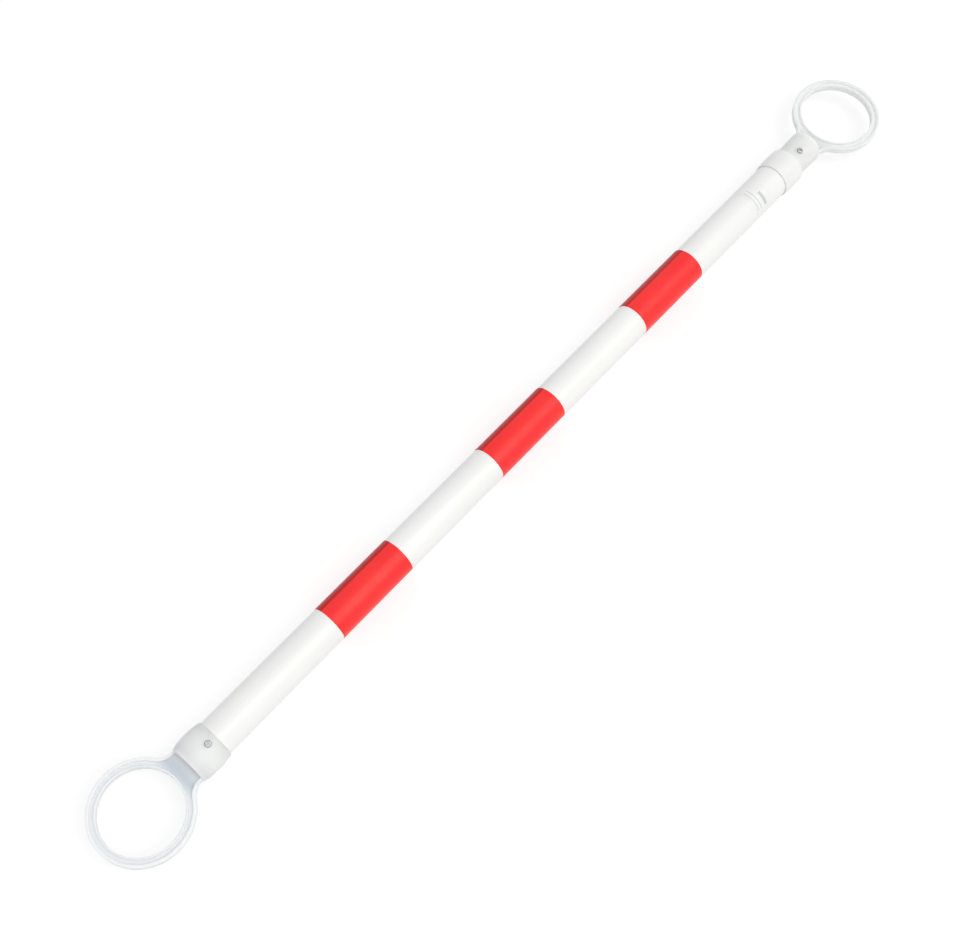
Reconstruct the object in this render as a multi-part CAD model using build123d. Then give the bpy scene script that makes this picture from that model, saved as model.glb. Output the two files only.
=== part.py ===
from build123d import *
from math import degrees
import os

# Retractable cone bar, closed. The outer tube and its ring are at -X, and the inner tube
# and its ring are at +X. Z is up. The origin is on the floor under the middle of the bar.
# Lengths are in millimetres and angles in degrees. A gap is on the radius or on one face.

# Rings that drop over the cones, an H section with a rim along each edge
ring_spacing = 1100.0
ring_bore_diameter = 83.0
ring_width = 9.5
ring_thickness = 8.5
inner_rim_width = 2.0
outer_rim_width = 3.4
neck_rim_width = 2.0
web_thickness = 3.2
rim_edge_round = 0.6
neck_corner_round = 18.0

# Sockets. The neck runs from the outside of the ring to the closed end of the socket.
neck_length = 8.0
near_socket_length = 35.0
far_socket_length = 37.7
socket_end_wall = 3.0
socket_end_round = 1.6
socket_mouth_round = 0.4

# Wall of the near socket at its closed end, belly and mouth: a barrel
near_end_thickness = 1.1
near_belly_thickness = 3.1
near_mouth_thickness = 1.2

# Wall of the far socket at the same places: a slight taper
far_end_thickness = 3.0
far_belly_thickness = 2.7
far_mouth_thickness = 2.2

# Tubes. The outer one's diameter of 40 follows from the inner tube and the guide sleeve round it.
inner_tube_diameter = 32.0
inner_tube_wall = 1.8
outer_tube_wall = 2.0

# Gaps between the pieces
glue_gap = 0.1
end_gap = 0.3
slide_gap = 0.3
screw_gap = 0.05
film_gap = 0.02

# Collar on the far end of the outer tube, with a guide sleeve for the inner tube
collar_length = 30.2
collar_wall = 1.4
collar_belly_rise = 0.5
collar_lip = 3.0
collar_edge_round = 0.4
guide_length = 15.5
guide_wall = 1.6

# Red bands of film wrapped round the outer tube, each with its end lapped over its start.
# The lap is on the +Y side, and lap_turn is the angle from the top to its upper edge. The
# bands are evenly spaced from the first one, near the -X end, to the last one, by the label.
band_start = 248.0
band_length = 98.0
band_count = 3
band_to_label = 103.0
band_thickness = 0.22
band_lap = 15.0
lap_turn = 31.0

# Blank label on the upper side of the outer tube, turned a little towards -Y
label_length = 27.0
label_arc = 115.0
label_turn = 20.0
label_to_collar = 25.8
label_thickness = 0.15

# Pan head screw that holds each socket to its tube, turned a little from the top towards -Y
screw_from_start = 25.0
screw_turn = 12.5
screw_diameter = 3.5
screw_length = 9.5
screw_tip_length = 2.5
screw_tip_diameter = 1.0
screw_head_diameter = 7.0
screw_head_height = 2.4
screw_head_round = 1.5
screw_seat_depth = 0.45
screw_seat_gap = 0.2
recess_span = 4.0
recess_slot = 1.0
recess_depth = 1.3
recess_taper = 8.0

# Stop bush on the hidden end of the inner tube, with a split friction ring and a cross pin
stop_from_screw = 4.0
stop_head_length = 14.0
stop_spigot_length = 24.0
stop_bore_diameter = 18.0
friction_ring_length = 4.0
friction_ring_depth = 2.0
friction_ring_split = 2.5
groove_from_face = 4.7
pin_diameter = 3.0
pin_from_shoulder = 12.0
pin_recess = 0.3

# Radii that follow
ring_bore_radius = ring_bore_diameter / 2
ring_radius = ring_bore_radius + ring_width
inner_tube_radius = inner_tube_diameter / 2
inner_bore_radius = inner_tube_radius - inner_tube_wall
guide_bore = inner_tube_radius + slide_gap
guide_radius = guide_bore + guide_wall
outer_bore_radius = guide_radius + glue_gap
outer_tube_radius = outer_bore_radius + outer_tube_wall
near_socket_bore = outer_tube_radius + glue_gap
far_socket_bore = inner_tube_radius + glue_gap
collar_bore = outer_tube_radius + glue_gap
collar_radius = collar_bore + collar_wall
collar_belly_radius = collar_radius + collar_belly_rise
film_radius = outer_tube_radius + film_gap
screw_radius = screw_diameter / 2
screw_hole_radius = screw_radius + screw_gap
friction_ring_radius = outer_bore_radius - glue_gap
friction_ring_bore = friction_ring_radius - friction_ring_depth

# The bar lies on the fattest of its turned pieces
thickest_near_wall = max(near_end_thickness, near_belly_thickness, near_mouth_thickness)
thickest_far_wall = max(far_end_thickness, far_belly_thickness, far_mouth_thickness)
axis_height = max(
    near_socket_bore + thickest_near_wall,
    far_socket_bore + thickest_far_wall,
    collar_belly_radius,
)

# Places in an end piece that follow, measured from the centre of its ring
socket_start = ring_radius + neck_length
socket_seat = socket_start + socket_end_wall
screw_from_ring = socket_start + screw_from_start

# Stations along X that follow
near_centre = -ring_spacing / 2
far_centre = ring_spacing / 2
near_seat = near_centre + socket_seat
far_seat = far_centre - socket_seat
near_screw_x = near_centre + screw_from_ring
far_screw_x = far_centre - screw_from_ring
collar_end = far_centre - socket_start - far_socket_length - end_gap
collar_start = collar_end - collar_length
lip_start = collar_end - collar_lip
guide_start = lip_start - guide_length
label_start = collar_start - label_to_collar - label_length
first_band = near_centre + band_start
last_band = label_start - band_to_label - band_length
band_pitch = (last_band - first_band) / (band_count - 1)
stop_start = near_screw_x + screw_radius + stop_from_screw
stop_shoulder = stop_start + stop_head_length
stop_end = stop_shoulder + stop_spigot_length
pin_x = stop_shoulder + pin_from_shoulder
travel = guide_start - stop_shoulder


def tube(outer_radius, inner_radius, start, end):
    """A round tube along X."""
    section = Circle(outer_radius) - Circle(inner_radius)
    return extrude(Plane.YZ.offset(start) * section, amount=end - start)


def rod(radius, start, end):
    """A round bar along X."""
    return extrude(Plane.YZ.offset(start) * Circle(radius), amount=end - start)


def upright(radius, x, bottom, top):
    """A round bar along Z that meets the axis of the bar at x."""
    return extrude(Plane.XY.offset(bottom) * Pos(x, 0) * Circle(radius), amount=top - bottom)


def turned(edges, arc=360):
    """A solid turned about X from a closed outline of points given as (x, radius)."""
    return revolve(Plane.XZ * make_face(edges), Axis.X, arc)


def screw_way(radius, x, bottom, top, turn):
    """A round bar along the line of a screw, turned about the axis of the bar."""
    return Rot(turn, 0, 0) * upright(radius, x, bottom, top)


def keyhole(radius, half_width, corner_round):
    """A disc with a straight neck along +X, rounded where the neck leaves the disc."""
    neck = Pos(socket_seat / 2, 0) * Rectangle(socket_seat, 2 * half_width)
    shape = Circle(radius) + neck
    corners = [v for v in shape.vertices() if v.X < socket_start]
    return fillet(corners, corner_round)


def ring_and_neck(half_width):
    """The ring and its neck, with a hollow between the rims on both faces."""
    outline = keyhole(ring_radius, half_width, neck_corner_round) - Circle(ring_bore_radius)
    hollow = keyhole(
        ring_radius - outer_rim_width,
        half_width - neck_rim_width,
        neck_corner_round + neck_rim_width,
    )
    hollow -= Circle(ring_bore_radius + inner_rim_width)
    hollow -= Pos(socket_start + ring_radius, 0) * Rectangle(2 * ring_radius, 2 * ring_radius)
    face_height = ring_thickness / 2
    solid = extrude(outline, amount=face_height, both=True)
    for side in (1, -1):
        solid -= extrude(Plane.XY.offset(side * web_thickness / 2) * hollow, amount=side * face_height)
    rim_edges = [
        edge for edge in solid.edges()
        if abs(abs(edge.center().Z) - face_height) < 0.01
        and edge.bounding_box().min.X < socket_start - 0.1
    ]
    return fillet(rim_edges, rim_edge_round)


def socket_body(length, end_radius, belly_radius, mouth_radius):
    """The outside of a socket, turned about X with a gentle belly."""
    mouth = socket_start + length
    middle = (socket_start + mouth) / 2
    side = ThreePointArc((socket_start, end_radius), (middle, belly_radius), (mouth, mouth_radius))
    rest = Polyline(
        (mouth, mouth_radius),
        (mouth, 0),
        (socket_start, 0),
        (socket_start, end_radius),
    )
    body = turned([side, rest])
    closed_rim = body.edges().filter_by(GeomType.CIRCLE).sort_by(Axis.X)[0]
    body = fillet(closed_rim, socket_end_round)
    mouth_rim = body.edges().filter_by(GeomType.CIRCLE).sort_by(Axis.X)[-1]
    return fillet(mouth_rim, socket_mouth_round)


def seat_height(length, bore_radius, end_thickness, belly_thickness, mouth_thickness):
    """Height of the flat under the screw head, just below the top of the socket."""
    body = socket_body(
        length,
        bore_radius + end_thickness,
        bore_radius + belly_thickness,
        bore_radius + mouth_thickness,
    )
    slice_at_screw = body & (Plane.YZ.offset(screw_from_ring) * Rectangle(4 * axis_height, 4 * axis_height))
    return slice_at_screw.bounding_box().max.Z - screw_seat_depth


def ring_end(turn, length, bore_radius, end_thickness, belly_thickness, mouth_thickness):
    """One moulded end piece, with its ring at the origin and its socket towards +X."""
    end_radius = bore_radius + end_thickness
    seat = seat_height(length, bore_radius, end_thickness, belly_thickness, mouth_thickness)
    piece = socket_body(length, end_radius, bore_radius + belly_thickness, bore_radius + mouth_thickness)
    piece += ring_and_neck(end_radius - socket_end_round)
    piece -= rod(bore_radius, socket_seat, socket_start + length + 1)
    piece -= screw_way(screw_hole_radius, screw_from_ring, 0, seat + 1, turn)
    seat_radius = screw_head_diameter / 2 + screw_seat_gap
    return piece - screw_way(seat_radius, screw_from_ring, seat, seat + screw_head_height, turn)


def screw(x, seat):
    """A pan head screw with a cross recess, its head on the seat."""
    head = upright(screw_head_diameter / 2, x, seat, seat + screw_head_height)
    head = fillet(head.edges().filter_by(GeomType.CIRCLE).sort_by(Axis.Z)[-1], screw_head_round)
    top = Plane.XY.offset(seat + screw_head_height) * Pos(x, 0)
    for span, slot in ((recess_span, recess_slot), (recess_slot, recess_span)):
        head -= extrude(top * Rectangle(span, slot), amount=-recess_depth, taper=recess_taper)
    tip_end = seat - screw_length
    tip_start = tip_end + screw_tip_length
    shank = upright(screw_radius, x, tip_start, seat)
    tip = Pos(x, 0, tip_end + screw_tip_length / 2) * Cone(
        screw_tip_diameter / 2, screw_radius, screw_tip_length
    )
    return Rot(screw_turn, 0, 0) * (head + shank + tip)


def outer_tube():
    piece = tube(outer_tube_radius, outer_bore_radius, near_seat + end_gap, lip_start - end_gap)
    return piece - screw_way(screw_hole_radius, near_screw_x, 0, near_socket_bore, screw_turn)


def inner_tube():
    piece = tube(inner_tube_radius, inner_bore_radius, stop_shoulder, far_seat - end_gap)
    piece -= screw_way(screw_hole_radius, far_screw_x, 0, far_socket_bore, screw_turn)
    return piece - cross_pin(pin_diameter / 2 + screw_gap, 2 * guide_bore)


def guide_collar():
    """Cap on the end of the outer tube: a skirt outside it, a lip and a guide sleeve inside."""
    middle = (collar_start + collar_end) / 2
    skirt = ThreePointArc(
        (collar_start, collar_radius),
        (middle, collar_belly_radius),
        (collar_end, collar_radius),
    )
    inside = Polyline(
        (collar_end, collar_radius),
        (collar_end, guide_bore),
        (guide_start, guide_bore),
        (guide_start, guide_radius),
        (lip_start, guide_radius),
        (lip_start, collar_bore),
        (collar_start, collar_bore),
        (collar_start, collar_radius),
    )
    piece = turned([skirt, inside])
    rims = [
        edge for edge in piece.edges().filter_by(GeomType.CIRCLE)
        if abs(edge.radius - collar_radius) < 0.01
    ]
    return fillet(rims, collar_edge_round)


def patch(bore_radius, thickness, start, length, turn, arc):
    """A curved sheet on a tube. Its edges are at turn and turn + arc from the top towards -Y."""
    outside = bore_radius + thickness
    end = start + length
    outline = Polyline(
        (start, bore_radius),
        (start, outside),
        (end, outside),
        (end, bore_radius),
        close=True,
    )
    return Rot(turn, 0, 0) * turned([outline], arc)


def red_band(number):
    """One turn of film and the lap on top of it."""
    start = first_band + number * band_pitch
    outside = film_radius + band_thickness
    wrap = tube(outside, film_radius, start, start + band_length)
    arc = degrees(band_lap / outside)
    return wrap + patch(outside, band_thickness, start, band_length, -lap_turn - arc, arc)


def label():
    turn = label_turn - label_arc / 2
    return patch(film_radius, label_thickness, label_start, label_length, turn, label_arc)


def cross_pin(radius, length):
    """A pin along Y through the stop and the inner tube."""
    return extrude(Plane.XZ * Pos(pin_x, 0) * Circle(radius), amount=length / 2, both=True)


def slide_stop():
    """Bush with a grooved head that fills the outer tube and a spigot in the inner tube."""
    head_radius = outer_bore_radius - slide_gap
    groove_start = stop_start + groove_from_face
    groove_end = groove_start + friction_ring_length + 2 * end_gap
    groove_root = friction_ring_bore - slide_gap
    piece = rod(head_radius, stop_start, stop_shoulder)
    piece -= tube(head_radius + 1, groove_root, groove_start, groove_end)
    piece += rod(inner_bore_radius - glue_gap, stop_shoulder, stop_end)
    piece -= rod(stop_bore_diameter / 2, stop_start - 1, stop_end + 1)
    return piece - cross_pin(pin_diameter / 2 + screw_gap, 2 * guide_bore)


def friction_ring():
    """Split ring in the groove of the stop, which rubs in the outer tube."""
    start = stop_start + groove_from_face + end_gap
    ring = tube(friction_ring_radius, friction_ring_bore, start, start + friction_ring_length)
    middle = start + friction_ring_length / 2
    split = Box(2 * friction_ring_length, friction_ring_split, outer_tube_radius)
    return ring - Pos(middle, 0, -outer_tube_radius) * split


def write(name, piece):
    """Lifts a piece to its height above the floor and writes it."""
    export_step(Pos(0, 0, axis_height) * piece, f"parts/{name}.step")


near_socket = (
    near_socket_length,
    near_socket_bore,
    near_end_thickness,
    near_belly_thickness,
    near_mouth_thickness,
)
far_socket = (
    far_socket_length,
    far_socket_bore,
    far_end_thickness,
    far_belly_thickness,
    far_mouth_thickness,
)

os.makedirs("parts", exist_ok=True)
near_piece = ring_end(screw_turn, *near_socket)
write("near_ring_end", Pos(near_centre, 0, 0) * near_piece)
far_piece = ring_end(-screw_turn, *far_socket)
write("far_ring_end", Pos(far_centre, 0, 0) * Rot(0, 0, 180) * far_piece)
write("near_end_screw", screw(near_screw_x, seat_height(*near_socket)))
write("far_end_screw", screw(far_screw_x, seat_height(*far_socket)))
write("outer_tube", outer_tube())
write("inner_tube", inner_tube())
write("guide_collar", guide_collar())
for number in range(band_count):
    write(f"red_band_{number + 1}", red_band(number))
write("label", label())
write("slide_stop", slide_stop())
write("friction_ring", friction_ring())
write("stop_pin", cross_pin(pin_diameter / 2, inner_tube_diameter - 2 * pin_recess))
print(f"travel {travel:.1f} mm, axis {axis_height:.1f} mm above the floor")
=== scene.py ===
from math import degrees, radians

import bmesh
import bpy
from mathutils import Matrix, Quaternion, Vector

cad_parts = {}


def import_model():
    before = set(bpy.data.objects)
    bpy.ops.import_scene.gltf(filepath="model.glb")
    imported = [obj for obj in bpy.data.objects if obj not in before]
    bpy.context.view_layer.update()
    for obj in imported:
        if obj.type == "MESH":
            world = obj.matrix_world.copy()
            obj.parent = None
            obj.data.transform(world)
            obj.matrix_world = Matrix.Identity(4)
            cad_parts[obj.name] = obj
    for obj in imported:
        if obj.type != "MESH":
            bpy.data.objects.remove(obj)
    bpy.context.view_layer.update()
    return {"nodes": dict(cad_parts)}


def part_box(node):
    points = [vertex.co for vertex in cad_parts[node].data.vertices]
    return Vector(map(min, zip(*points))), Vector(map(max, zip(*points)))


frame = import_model()

# The bar lies along X with its axis at axis_z. Lengths are in metres, and colours are linear.
# A turn is an angle in degrees round the axis of the bar, from the top towards -Y.
tube_low, tube_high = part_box("outer_tube")
axis_z = (tube_low.z + tube_high.z) / 2
tube_radius = (tube_high.z - tube_low.z) / 2

# The end of each red film that laps over its start, back from lap_turn; the film's red there is
# darkened further as painted shade.
lap_length = 0.015
lap_turn = -31.0

# The neck of a ring end: where it starts, where it has its full tone, and where it meets its
# socket, measured along the bar from the centre of the ring
neck_start = 0.036
neck_full = 0.048
neck_end = 0.059

# Heights on a ring end, up or down from the level of the axis: the web is flat up to web_half,
# the rims are flat above rim_bottom, and the mould's parting line is at the level of the axis
web_half = 0.0017
web_edge = 0.0004
rim_bottom = 0.0036
parting_half = 0.0001
parting_edge = 0.0002
parting_depth = 0.00008

# Tones of the ring ends, with painted light and shade in them. The body is mottled from its first tone
# to its second, cooler at the near end and warmer at the far end as painted light.
# The ring and the neck lean towards ring by its share below, a darker tone that paints the shade in the
# ring's channels, and their flat rims towards rim by its share, which paints light on the rims' tops at
# the near end and shade on them at the far end.
# The web runs from its first tone, by the ring, to its second, by the socket: painted shade in the
# recessed neck, lighter by the socket to offset the shade that the socket's end casts there.
channel_shade_share = 0.75
near_tones = {
    "body": ((0.885, 0.925, 0.920), (0.925, 0.960, 0.948)),
    "ring": (0.770, 0.792, 0.822),
    "rim": (0.88, 0.905, 0.91),
    "rim_shading_share": 0.5,
    "web": ((0.540, 0.585, 0.648), (0.695, 0.710, 0.732)),
}
far_tones = {
    "body": ((0.890, 0.905, 0.888), (0.925, 0.938, 0.918)),
    "ring": (0.840, 0.856, 0.860),
    "rim": (0.740, 0.760, 0.765),
    "rim_shading_share": 0.85,
    "web": ((0.690, 0.705, 0.715), (0.695, 0.708, 0.714)),
}

# Lines ruled on the label. Each has the distance of its middle from the label's near edge, half
# its width, the turn of its middle, and half its arc.
label_rules = (
    (0.003, 0.0005, 20.0, 40.0),
    (0.008, 0.0005, 20.0, 40.0),
    (0.016, 0.0020, 36.0, 24.0),
)
rule_share = 0.7

# Camera
camera_place = (-0.5602, -0.3743, 1.3487)
camera_target = (-0.0795, 0.0007, 0.0232)
camera_roll = 4.26
camera_lens = 52.87
camera_clip_start = 0.01
sensor_width = 36.0

# Light. key_width is the angle that the key light fills, and key_distance only says where its
# object is put.
white = (1.0, 1.0, 1.0)
key_towards = (0.15, -0.45, 0.88)
key_distance = 2.0
key_width = 50.0
key_strength = 1.42
key_colour = (1.0, 0.99, 0.91)
sky_strength = 0.66
sky_colour = (0.955, 0.962, 1.0)
seen_sky_strength = 1.0

# Floor
floor_size = 12.0
floor_gap = 0.0002
floor_greys = (0.85, 0.86)
floor_rough = 0.9
seen_floor_grey = 0.30
seen_floor_glow = 0.72

# The range that most of a noise lies in, and how square to Z a surface is that counts as flat
noise_low = 0.3
noise_high = 0.7
flat_limit = 0.95

# Sockets of a Mix node that are for colours
mix_share = 0
mix_colours = (6, 7)
mix_result = 2


class Surface:
    """One Principled material and the nodes that feed it, in the frame of the part."""

    def __init__(self, name):
        self.material = bpy.data.materials.new(name)
        self.material.use_nodes = True
        self.tree = self.material.node_tree
        self.shader = self.tree.nodes["Principled BSDF"]
        coordinates = self.node("ShaderNodeTexCoord").outputs
        self.place = coordinates["Object"]
        self.facing = coordinates["Normal"]
        self.normal = None

    def node(self, kind, inputs=(), **settings):
        made = self.tree.nodes.new(kind)
        for name, value in settings.items():
            setattr(made, name, value)
        for socket, value in dict(inputs).items():
            self.feed(made.inputs[socket], value)
        return made

    def feed(self, socket, value):
        if isinstance(value, bpy.types.NodeSocket):
            self.tree.links.new(value, socket)
        else:
            socket.default_value = value

    def set(self, **values):
        """Sets sockets of the shader, named with _ for a space."""
        for name, value in values.items():
            self.feed(self.shader.inputs[name.replace("_", " ")], value)

    def scatter(self, weight, depth):
        """Scatters a share of the light below the surface, about depth metres deep."""
        self.set(Subsurface_Weight=weight, Subsurface_Radius=white, Subsurface_Scale=depth)

    def maths(self, operation, *values):
        made = self.node("ShaderNodeMath", operation=operation)
        for index, value in enumerate(values):
            self.feed(made.inputs[index], value)
        return made.outputs[0]

    def part(self, vector, axis):
        """The X, Y or Z part of a vector."""
        return self.node("ShaderNodeSeparateXYZ", {"Vector": vector}).outputs[axis]

    def above_axis(self):
        return self.maths("SUBTRACT", self.part(self.place, "Z"), axis_z)

    def turn(self):
        """The turn of a point round the axis of the bar, in degrees."""
        across = self.maths("MULTIPLY", self.part(self.place, "Y"), -1.0)
        angle = self.maths("ARCTAN2", across, self.above_axis())
        return self.maths("MULTIPLY", angle, degrees(1.0))

    def height(self):
        """How far a point is above or below the level of the axis."""
        return self.maths("ABSOLUTE", self.above_axis())

    def flat(self):
        """1 where the surface is square to Z, and 0 elsewhere."""
        squareness = self.maths("ABSOLUTE", self.part(self.facing, "Z"))
        return self.maths("GREATER_THAN", squareness, flat_limit)

    def noise(self, per_metre, detail, stretch=(1, 1, 1)):
        """Noise with about so many grains to a metre, times a stretch for each axis."""
        scale = [per_metre * share for share in stretch]
        scaled = self.node("ShaderNodeMapping", {"Vector": self.place, "Scale": scale})
        vector = scaled.outputs["Vector"]
        made = self.node("ShaderNodeTexNoise", {"Vector": vector, "Scale": 1.0, "Detail": detail})
        return made.outputs["Fac"]

    def fade(self, value, low, high, first=0.0, last=1.0):
        """Runs smoothly from first to last as value goes from low to high."""
        made = self.node("ShaderNodeMapRange", interpolation_type="SMOOTHSTEP")
        for index, number in enumerate((value, low, high, first, last)):
            self.feed(made.inputs[index], number)
        return made.outputs[0]

    def spread(self, noise, first=0.0, last=1.0):
        """Runs smoothly from first to last over the range that most of a noise lies in."""
        return self.fade(noise, noise_low, noise_high, first, last)

    def within(self, value, middle, half):
        """1 where value is at most half away from middle, and 0 elsewhere."""
        return self.maths("COMPARE", value, middle, half)

    def mix(self, share, first, second):
        """The colour first where share is 0, and second where it is 1."""
        made = self.node("ShaderNodeMix", data_type="RGBA")
        self.feed(made.inputs[mix_share], share)
        for index, colour in zip(mix_colours, (first, second)):
            if not isinstance(colour, bpy.types.NodeSocket):
                colour = (*colour, 1.0)
            self.feed(made.inputs[index], colour)
        return made.outputs[mix_result]

    def bump(self, height, depth):
        """Raises the surface by up to depth metres where height is 1."""
        made = self.node("ShaderNodeBump", {"Height": height, "Distance": depth, "Strength": 1.0})
        if self.normal is not None:
            self.feed(made.inputs["Normal"], self.normal)
        self.normal = made.outputs["Normal"]
        self.set(Normal=self.normal)

    def dress(self, *names):
        for name in names:
            for slot in frame["nodes"][name].material_slots:
                slot.material = self.material


def end_plastic(name, node, tones):
    """Natural white moulded plastic, faintly clear, with painted shade over its ring and its neck's web
    and painted light and shade on its flat rims.
    """
    surface = Surface(name)
    mottle = surface.spread(surface.noise(per_metre=28, detail=2.0))
    colour = surface.mix(mottle, *tones["body"])
    streaks = surface.noise(per_metre=90, detail=4.0, stretch=(0.4, 1, 1))
    colour = surface.mix(surface.fade(streaks, 0.55, 0.80, last=0.25), colour, (0.87, 0.885, 0.88))

    low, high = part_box(node)
    ring_radius = (high.y - low.y) / 2
    inwards, outer_end = (1.0, low.x) if low.x < 0 else (-1.0, high.x)
    from_centre = surface.maths(
        "SUBTRACT", surface.part(surface.place, "X"), outer_end + inwards * ring_radius
    )
    along = surface.maths("MULTIPLY", from_centre, inwards)
    in_ring = surface.maths("LESS_THAN", along, neck_end)
    # The ring tone, over the ring and its neck, is painted shade from the ring's channels.
    colour = surface.mix(surface.maths("MULTIPLY", in_ring, channel_shade_share), colour, tones["ring"])

    height = surface.height()
    # Flat rim tops take the rim tone: painted light at the near end, painted shade at the far end.
    flat = surface.maths("MULTIPLY", surface.flat(), in_ring)
    rim_shading = surface.fade(height, web_half, rim_bottom, last=tones["rim_shading_share"])
    colour = surface.mix(surface.maths("MULTIPLY", flat, rim_shading), colour, tones["rim"])

    # The flat floor of the neck's web takes painted shade, darkest by the ring and lighter by the
    # socket.
    low_web = surface.fade(height, web_half, web_half + web_edge, first=1.0, last=0.0)
    web_floor = surface.maths("MULTIPLY", flat, low_web)
    neck_shade = surface.maths("MULTIPLY", web_floor, surface.fade(along, neck_start, neck_full))
    web = surface.mix(surface.fade(along, neck_full, neck_end), *tones["web"])
    colour = surface.mix(neck_shade, colour, web)

    rough = surface.spread(surface.noise(per_metre=220, detail=4.0), 0.40, 0.54)
    surface.set(Base_Color=colour, Roughness=rough, IOR=1.49)
    surface.scatter(weight=0.7, depth=0.009)
    surface.bump(surface.noise(per_metre=1600, detail=3.0), depth=0.00003)
    surface.bump(surface.noise(per_metre=60, detail=2.0), depth=0.00012)
    parting_line = surface.fade(height, parting_half, parting_half + parting_edge, first=1.0, last=0.0)
    surface.bump(parting_line, depth=parting_depth)
    return surface


def tube_plastic(name, wear):
    """Satin white extruded tube with fine lines along it and rubbed streaks."""
    surface = Surface(name)
    cloud = surface.spread(surface.noise(per_metre=14, detail=3.0))
    colour = surface.mix(cloud, (0.855, 0.855, 0.845), (0.88, 0.878, 0.862))
    lines = surface.noise(per_metre=500, detail=4.0, stretch=(0.006, 1, 1))
    colour = surface.mix(surface.fade(lines, 0.45, 0.75, last=0.25 + wear), colour, (0.80, 0.80, 0.80))
    smudge = surface.noise(per_metre=45, detail=5.0, stretch=(0.5, 1, 1))
    colour = surface.mix(surface.fade(smudge, 0.60, 0.80, last=0.20 + wear), colour, (0.74, 0.74, 0.73))
    surface.set(Base_Color=colour, Roughness=surface.spread(lines, 0.33, 0.46), IOR=1.50)
    surface.bump(lines, depth=0.00003)
    surface.bump(surface.noise(per_metre=1400, detail=2.0), depth=0.00001)
    return surface


def collar_plastic():
    """Satin white moulded cap."""
    surface = Surface("collar_plastic")
    cloud = surface.spread(surface.noise(per_metre=40, detail=3.0))
    colour = surface.mix(cloud, (0.850, 0.857, 0.836), (0.880, 0.886, 0.862))
    rough = surface.spread(surface.noise(per_metre=300, detail=4.0), 0.38, 0.50)
    surface.set(Base_Color=colour, Roughness=rough, IOR=1.50)
    surface.scatter(weight=0.3, depth=0.004)
    surface.bump(surface.noise(per_metre=1500, detail=3.0), depth=0.00003)
    surface.bump(surface.noise(per_metre=70, detail=2.0), depth=0.00010)
    return surface


def red_film():
    """Glossy red film on a white tube: brighter where it is single, dark red where it laps over itself,
    and darker there still as painted shade.
    """
    surface = Surface("red_film")
    cloud = surface.spread(surface.noise(per_metre=22, detail=2.0))
    single = surface.mix(cloud, (0.93, 0.030, 0.030), (0.96, 0.036, 0.034))
    cells = surface.node("ShaderNodeTexVoronoi", {"Vector": surface.place, "Scale": 1500.0})
    grain = cells.outputs["Distance"]
    single = surface.mix(surface.fade(grain, 0.2, 0.8, last=0.10), single, (0.86, 0.022, 0.024))
    half_lap = degrees(lap_length / tube_radius) / 2
    lap_shade = surface.within(surface.turn(), lap_turn - half_lap, half_lap)
    # Where the film laps, its red is darker than a double layer gives, as painted shade on the bar's
    # shaded side.
    colour = surface.mix(lap_shade, single, (0.48, 0.002, 0.004))
    rough = surface.spread(surface.noise(per_metre=180, detail=3.0), 0.30, 0.40)
    surface.set(Base_Color=colour, Roughness=rough, IOR=1.45, Specular_IOR_Level=0.3)
    surface.bump(surface.noise(per_metre=60, detail=2.0, stretch=(0.35, 1, 1)), depth=0.00010)
    surface.bump(grain, depth=0.00001)
    return surface


def label_film():
    """Pale sticker with nothing on it but faint ruled lines."""
    surface = Surface("label_film")
    fibre = surface.noise(per_metre=700, detail=3.0)
    colour = surface.mix(surface.spread(fibre), (0.825, 0.838, 0.832), (0.850, 0.860, 0.852))
    low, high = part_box("label")
    x = surface.part(surface.place, "X")
    turn = surface.turn()
    for from_near_edge, half_width, middle, half_arc in label_rules:
        along = surface.within(x, low.x + from_near_edge, half_width)
        around = surface.within(turn, middle, half_arc)
        ruled = surface.maths("MULTIPLY", surface.maths("MULTIPLY", along, around), rule_share)
        colour = surface.mix(ruled, colour, (0.45, 0.48, 0.50))
    rough = surface.spread(surface.noise(per_metre=250, detail=3.0), 0.28, 0.40)
    surface.set(Base_Color=colour, Roughness=rough, IOR=1.48)
    surface.bump(fibre, depth=0.00001)
    return surface


def metal(name, pale, dark, roughness):
    """Plated or ground steel with fine marks."""
    surface = Surface(name)
    stain = surface.noise(per_metre=500, detail=3.0)
    colour = surface.mix(surface.fade(stain, 0.35, 0.70), pale, dark)
    marks = surface.noise(per_metre=2500, detail=4.0, stretch=(1, 0.2, 1))
    surface.set(Base_Color=colour, Metallic=1.0, Roughness=surface.spread(marks, *roughness))
    surface.bump(marks, depth=0.00001)
    return surface


def acetal(name, first, second):
    """Moulded bearing plastic with faint turning marks round the bar."""
    surface = Surface(name)
    colour = surface.mix(surface.spread(surface.noise(per_metre=80, detail=3.0)), first, second)
    rings = surface.noise(per_metre=2500, detail=2.0, stretch=(1, 0.01, 0.01))
    surface.set(Base_Color=colour, Roughness=surface.spread(rings, 0.35, 0.50), IOR=1.48)
    surface.bump(rings, depth=0.00002)
    return surface


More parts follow.
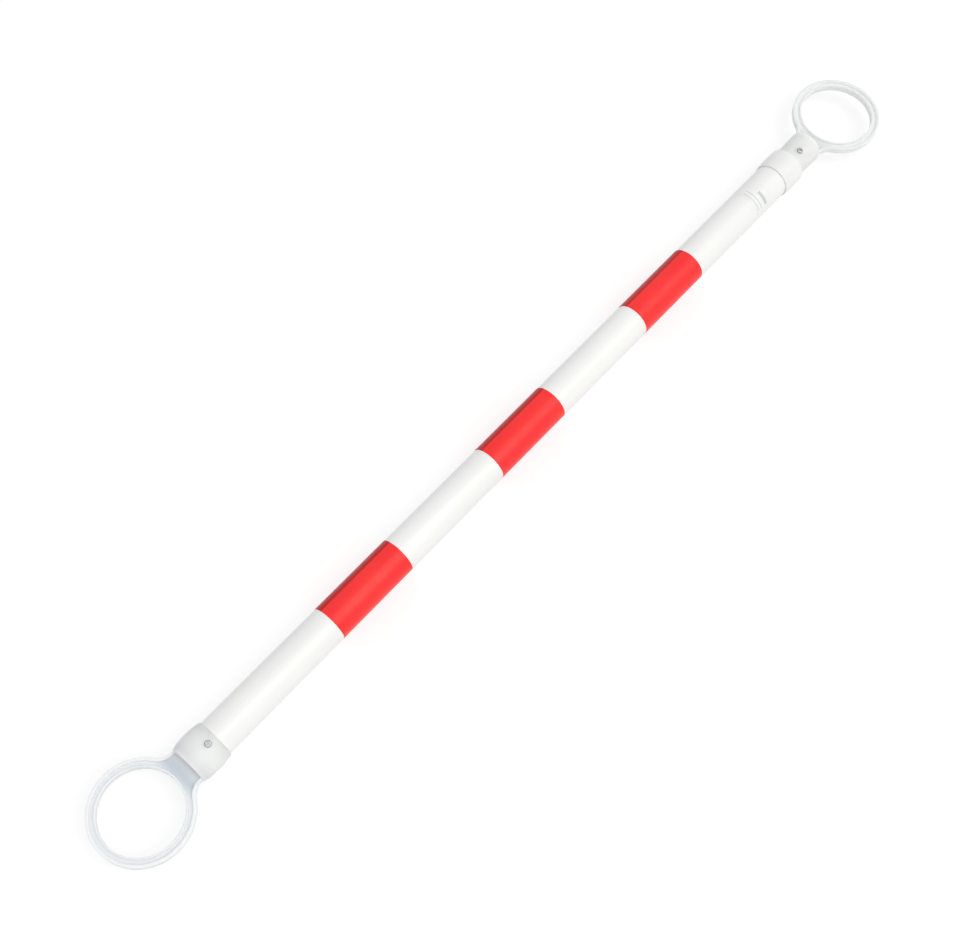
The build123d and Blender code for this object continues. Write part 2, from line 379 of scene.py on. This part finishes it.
def dress_part():
    bands = [name for name in frame["nodes"] if name.startswith("red_band")]
    screw_steel = metal("screw_steel", (0.49, 0.51, 0.55), (0.38, 0.40, 0.44), roughness=(0.46, 0.60))
    pin_steel = metal("pin_steel", (0.58, 0.58, 0.58), (0.46, 0.46, 0.46), roughness=(0.20, 0.32))
    end_plastic("near_ring_plastic", "near_ring_end", near_tones).dress("near_ring_end")
    end_plastic("far_ring_plastic", "far_ring_end", far_tones).dress("far_ring_end")
    tube_plastic("tube_plastic", wear=0.0).dress("outer_tube")
    tube_plastic("inner_tube_plastic", wear=0.12).dress("inner_tube")
    collar_plastic().dress("guide_collar")
    red_film().dress(*bands)
    label_film().dress("label")
    screw_steel.dress("near_end_screw", "far_end_screw")
    pin_steel.dress("stop_pin")
    acetal("stop_plastic", (0.76, 0.75, 0.71), (0.80, 0.79, 0.75)).dress("slide_stop")
    acetal("friction_plastic", (0.015, 0.015, 0.016), (0.025, 0.025, 0.027)).dress("friction_ring")


def seen_directly(tree):
    """1 on rays from the camera and on rays that gloss or glass sends on, 0 on others."""
    rays = tree.nodes.new("ShaderNodeLightPath")
    total = rays.outputs["Is Camera Ray"]
    for name in ("Is Glossy Ray", "Is Transmission Ray"):
        greater = tree.nodes.new("ShaderNodeMath")
        greater.operation = "MAXIMUM"
        tree.links.new(total, greater.inputs[0])
        tree.links.new(rays.outputs[name], greater.inputs[1])
        total = greater.outputs[0]
    return total


def floor():
    """A pale floor that lights the part as plain white and looks white up to its shadow."""
    mesh = bpy.data.meshes.new("floor")
    shape = bmesh.new()
    bmesh.ops.create_grid(shape, x_segments=1, y_segments=1, size=floor_size / 2)
    shape.to_mesh(mesh)
    shape.free()
    piece = bpy.data.objects.new("floor", mesh)
    piece.location.z = -floor_gap
    bpy.context.scene.collection.objects.link(piece)
    surface = Surface("floor")
    seen = seen_directly(surface.tree)
    lit = surface.mix(surface.noise(per_metre=3, detail=3.0), *((grey,) * 3 for grey in floor_greys))
    surface.set(Base_Color=surface.mix(seen, lit, (seen_floor_grey,) * 3))
    surface.set(Roughness=floor_rough, Specular_IOR_Level=0.0)
    surface.set(Emission_Color=(*white, 1.0))
    surface.set(Emission_Strength=surface.maths("MULTIPLY", seen, seen_floor_glow))
    mesh.materials.append(surface.material)


def world():
    """A sky that lights the part from all round and looks plain white."""
    sky = bpy.data.worlds.new("sky")
    bpy.context.scene.world = sky
    sky.use_nodes = True
    tree = sky.node_tree
    tree.nodes.clear()
    mixed = tree.nodes.new("ShaderNodeMixShader")
    tree.links.new(seen_directly(tree), mixed.inputs[0])
    shades = ((sky_colour, sky_strength), (white, seen_sky_strength))
    for index, (colour, strength) in enumerate(shades, start=1):
        shade = tree.nodes.new("ShaderNodeBackground")
        shade.inputs["Color"].default_value = (*colour, 1.0)
        shade.inputs["Strength"].default_value = strength
        tree.links.new(shade.outputs[0], mixed.inputs[index])
    out = tree.nodes.new("ShaderNodeOutputWorld")
    tree.links.new(mixed.outputs[0], out.inputs["Surface"])


def key_light():
    """One wide soft light from above, on the -Y side and the far ring's side."""
    lamp = bpy.data.lights.new("key", "SUN")
    lamp.energy = key_strength
    lamp.color = key_colour
    lamp.angle = radians(key_width)
    piece = bpy.data.objects.new("key", lamp)
    towards = Vector(key_towards).normalized()
    piece.rotation_euler = towards.to_track_quat("Z", "Y").to_euler()
    piece.location = towards * key_distance
    bpy.context.scene.collection.objects.link(piece)


def camera():
    data = bpy.data.cameras.new("camera")
    data.lens = camera_lens
    data.sensor_width = sensor_width
    data.sensor_fit = "HORIZONTAL"
    data.clip_start = camera_clip_start
    piece = bpy.data.objects.new("camera", data)
    line = Vector(camera_target) - Vector(camera_place)
    level = line.to_track_quat("-Z", "Y")
    rolled = level @ Quaternion((0, 0, 1), radians(camera_roll))
    piece.rotation_euler = rolled.to_euler()
    piece.location = camera_place
    bpy.context.scene.collection.objects.link(piece)
    bpy.context.scene.camera = piece


dress_part()
floor()
world()
key_light()
camera()
bpy.context.scene.view_settings.view_transform = "Standard"
